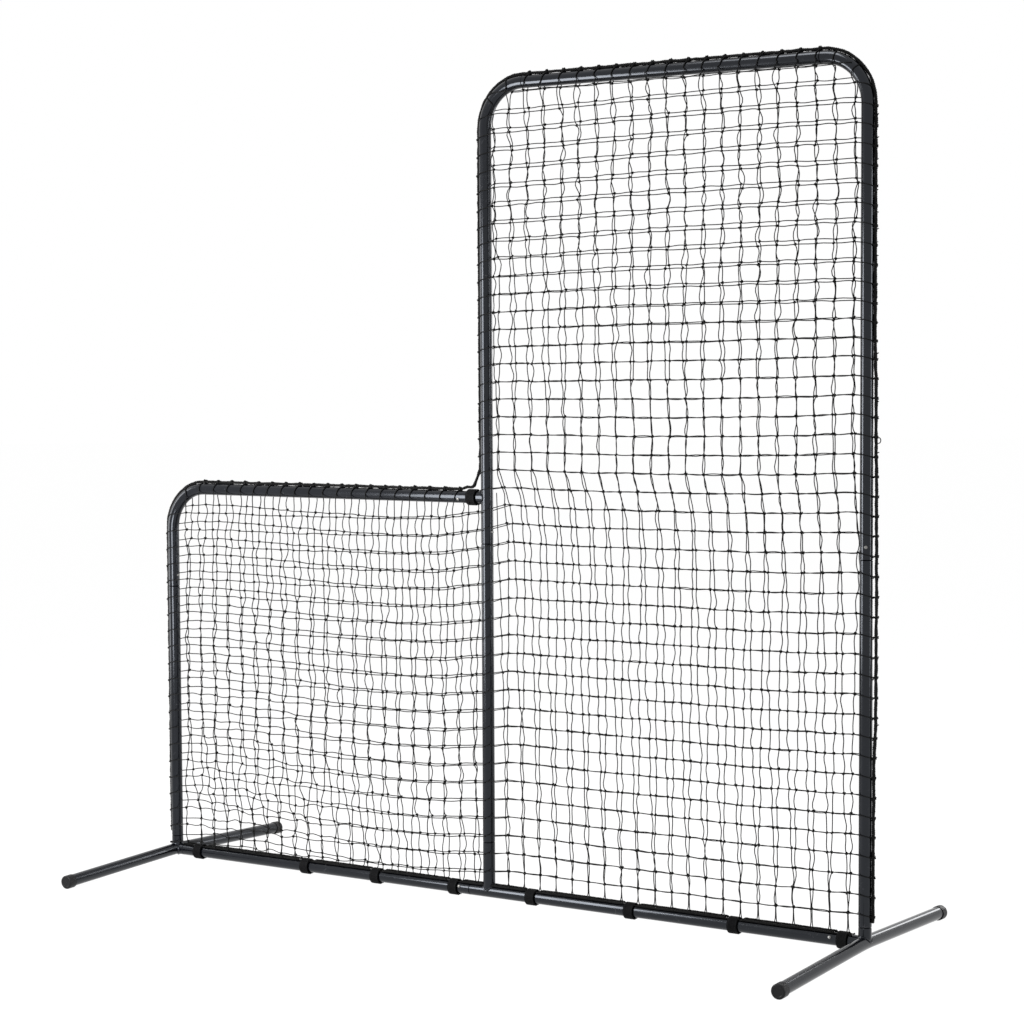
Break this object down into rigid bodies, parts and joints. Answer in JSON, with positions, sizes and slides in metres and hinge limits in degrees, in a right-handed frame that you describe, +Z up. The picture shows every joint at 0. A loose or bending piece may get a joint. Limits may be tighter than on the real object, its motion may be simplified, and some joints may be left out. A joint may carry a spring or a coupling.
{
  "type": "baseball L screen",
  "caption": "Free-standing L-shaped steel tube frame on two bent feet with a two-layer net, a throwing notch, snap-button joints and hook-and-loop straps.",
  "frame": {"origin": "on the floor under the middle upright, at the centre of the footprint", "axes": "+X towards the tall side, -X towards the low side with the notch above it, -Y the front that the balls come from, +Z up"},
  "size_m": [2.1764, 0.915, 2.1393],
  "materials": {
    "coated_steel": "satin black powder coat",
    "cap_plastic": "matt moulded black",
    "spring_steel": "bright zinc plating",
    "net_twine": "twisted black twine",
    "strap_webbing": "black hook-and-loop webbing"
  },
  "bodies": {
    "frame": {"left_foot": "coated_steel", "right_foot": "coated_steel", "left_foot_front_cap": "cap_plastic", "left_foot_back_cap": "cap_plastic", "right_foot_front_cap": "cap_plastic", "right_foot_back_cap": "cap_plastic", "left_lower_upright": "coated_steel", "middle_lower_upright": "coated_steel", "right_lower_upright": "coated_steel", "low_corner_tube": "coated_steel", "notch_upright": "coated_steel", "top_rail": "coated_steel", "right_corner_tube": "coated_steel", "left_bottom_rail": "coated_steel", "right_bottom_rail": "coated_steel", "bottom_strap_1": "strap_webbing", "bottom_strap_2": "strap_webbing", "bottom_strap_3": "strap_webbing", "bottom_strap_4": "strap_webbing", "bottom_strap_5": "strap_webbing", "bottom_strap_6": "strap_webbing", "bottom_strap_7": "strap_webbing", "bottom_strap_8": "strap_webbing", "notch_strap": "strap_webbing", "net_front_low": "net_twine", "net_front_tall": "net_twine", "net_back_low": "net_twine", "net_back_tall": "net_twine", "net_seam_rope": "net_twine"},
    "left_foot_upright_button": {"left_foot_upright_button": "spring_steel"},
    "left_foot_rail_button": {"left_foot_rail_button": "spring_steel"},
    "right_foot_upright_button": {"right_foot_upright_button": "spring_steel"},
    "right_foot_rail_button": {"right_foot_rail_button": "spring_steel"},
    "left_upright_button": {"left_upright_button": "spring_steel"},
    "middle_upright_button": {"middle_upright_button": "spring_steel"},
    "right_upright_button": {"right_upright_button": "spring_steel"},
    "tee_upright_button": {"tee_upright_button": "spring_steel"},
    "tee_rail_button": {"tee_rail_button": "spring_steel"},
    "notch_rail_button": {"notch_rail_button": "spring_steel"},
    "top_inner_button": {"top_inner_button": "spring_steel"},
    "top_outer_button": {"top_outer_button": "spring_steel"},
    "bottom_strap_1_tab": {"bottom_strap_1_tab": "strap_webbing"},
    "bottom_strap_2_tab": {"bottom_strap_2_tab": "strap_webbing"},
    "bottom_strap_3_tab": {"bottom_strap_3_tab": "strap_webbing"},
    "bottom_strap_4_tab": {"bottom_strap_4_tab": "strap_webbing"},
    "bottom_strap_5_tab": {"bottom_strap_5_tab": "strap_webbing"},
    "bottom_strap_6_tab": {"bottom_strap_6_tab": "strap_webbing"},
    "bottom_strap_7_tab": {"bottom_strap_7_tab": "strap_webbing"},
    "bottom_strap_8_tab": {"bottom_strap_8_tab": "strap_webbing"},
    "notch_strap_tab": {"notch_strap_tab": "strap_webbing"}
  },
  "joints": [
    {"name": "left_foot_upright_button_press", "type": "slide", "parent": "frame", "child": "left_foot_upright_button", "axis": [-1, 0, 0], "range_m": [0, 0.0048], "stiffness_N_per_m": 2000},
    {"name": "left_foot_rail_button_press", "type": "slide", "parent": "frame", "child": "left_foot_rail_button", "axis": [0, -0.9397, -0.342], "range_m": [0, 0.0048], "stiffness_N_per_m": 2000},
    {"name": "right_foot_upright_button_press", "type": "slide", "parent": "frame", "child": "right_foot_upright_button", "axis": [1, 0, 0], "range_m": [0, 0.0048], "stiffness_N_per_m": 2000},
    {"name": "right_foot_rail_button_press", "type": "slide", "parent": "frame", "child": "right_foot_rail_button", "axis": [0, 0.9397, -0.342], "range_m": [0, 0.0048], "stiffness_N_per_m": 2000},
    {"name": "left_upright_button_press", "type": "slide", "parent": "frame", "child": "left_upright_button", "axis": [-1, 0, 0], "range_m": [0, 0.0048], "stiffness_N_per_m": 2000},
    {"name": "middle_upright_button_press", "type": "slide", "parent": "frame", "child": "middle_upright_button", "axis": [-1, 0, 0], "range_m": [0, 0.0048], "stiffness_N_per_m": 2000},
    {"name": "right_upright_button_press", "type": "slide", "parent": "frame", "child": "right_upright_button", "axis": [-0.342, 0.9397, 0], "range_m": [0, 0.0048], "stiffness_N_per_m": 2000},
    {"name": "tee_upright_button_press", "type": "slide", "parent": "frame", "child": "tee_upright_button", "axis": [1, 0, 0], "range_m": [0, 0.0048], "stiffness_N_per_m": 2000},
    {"name": "tee_rail_button_press", "type": "slide", "parent": "frame", "child": "tee_rail_button", "axis": [0, 0.9397, -0.342], "range_m": [0, 0.0048], "stiffness_N_per_m": 2000},
    {"name": "notch_rail_button_press", "type": "slide", "parent": "frame", "child": "notch_rail_button", "axis": [0, 0.9397, 0.342], "range_m": [0, 0.0048], "stiffness_N_per_m": 2000},
    {"name": "top_inner_button_press", "type": "slide", "parent": "frame", "child": "top_inner_button", "axis": [0, -0.9397, -0.342], "range_m": [0, 0.0048], "stiffness_N_per_m": 2000},
    {"name": "top_outer_button_press", "type": "slide", "parent": "frame", "child": "top_outer_button", "axis": [0, -0.9397, -0.342], "range_m": [0, 0.0048], "stiffness_N_per_m": 2000},
    {"name": "bottom_strap_1_peel", "type": "hinge", "parent": "frame", "child": "bottom_strap_1_tab", "pos_m": [-0.98164, 0.01865, 0.04357], "axis": [1, 0, 0], "range_deg": [0, 100]},
    {"name": "bottom_strap_2_peel", "type": "hinge", "parent": "frame", "child": "bottom_strap_2_tab", "pos_m": [-0.59965, 0.01865, 0.04357], "axis": [1, 0, 0], "range_deg": [0, 100]},
    {"name": "bottom_strap_3_peel", "type": "hinge", "parent": "frame", "child": "bottom_strap_3_tab", "pos_m": [-0.36065, 0.01865, 0.04357], "axis": [1, 0, 0], "range_deg": [0, 100]},
    {"name": "bottom_strap_4_peel", "type": "hinge", "parent": "frame", "child": "bottom_strap_4_tab", "pos_m": [-0.1067, 0.01865, 0.04357], "axis": [1, 0, 0], "range_deg": [0, 100]},
    {"name": "bottom_strap_5_peel", "type": "hinge", "parent": "frame", "child": "bottom_strap_5_tab", "pos_m": [0.13444, 0.01865, 0.04357], "axis": [1, 0, 0], "range_deg": [0, 100]},
    {"name": "bottom_strap_6_peel", "type": "hinge", "parent": "frame", "child": "bottom_strap_6_tab", "pos_m": [0.42787, 0.01865, 0.04357], "axis": [1, 0, 0], "range_deg": [0, 100]},
    {"name": "bottom_strap_7_peel", "type": "hinge", "parent": "frame", "child": "bottom_strap_7_tab", "pos_m": [0.72129, 0.01865, 0.04357], "axis": [1, 0, 0], "range_deg": [0, 100]},
    {"name": "bottom_strap_8_peel", "type": "hinge", "parent": "frame", "child": "bottom_strap_8_tab", "pos_m": [1.01365, 0.01865, 0.04357], "axis": [1, 0, 0], "range_deg": [0, 100]},
    {"name": "notch_strap_peel", "type": "hinge", "parent": "frame", "child": "notch_strap_tab", "pos_m": [-0.042, 0.01865, 1.07207], "axis": [1, 0, 0], "range_deg": [0, 100]}
  ]
}
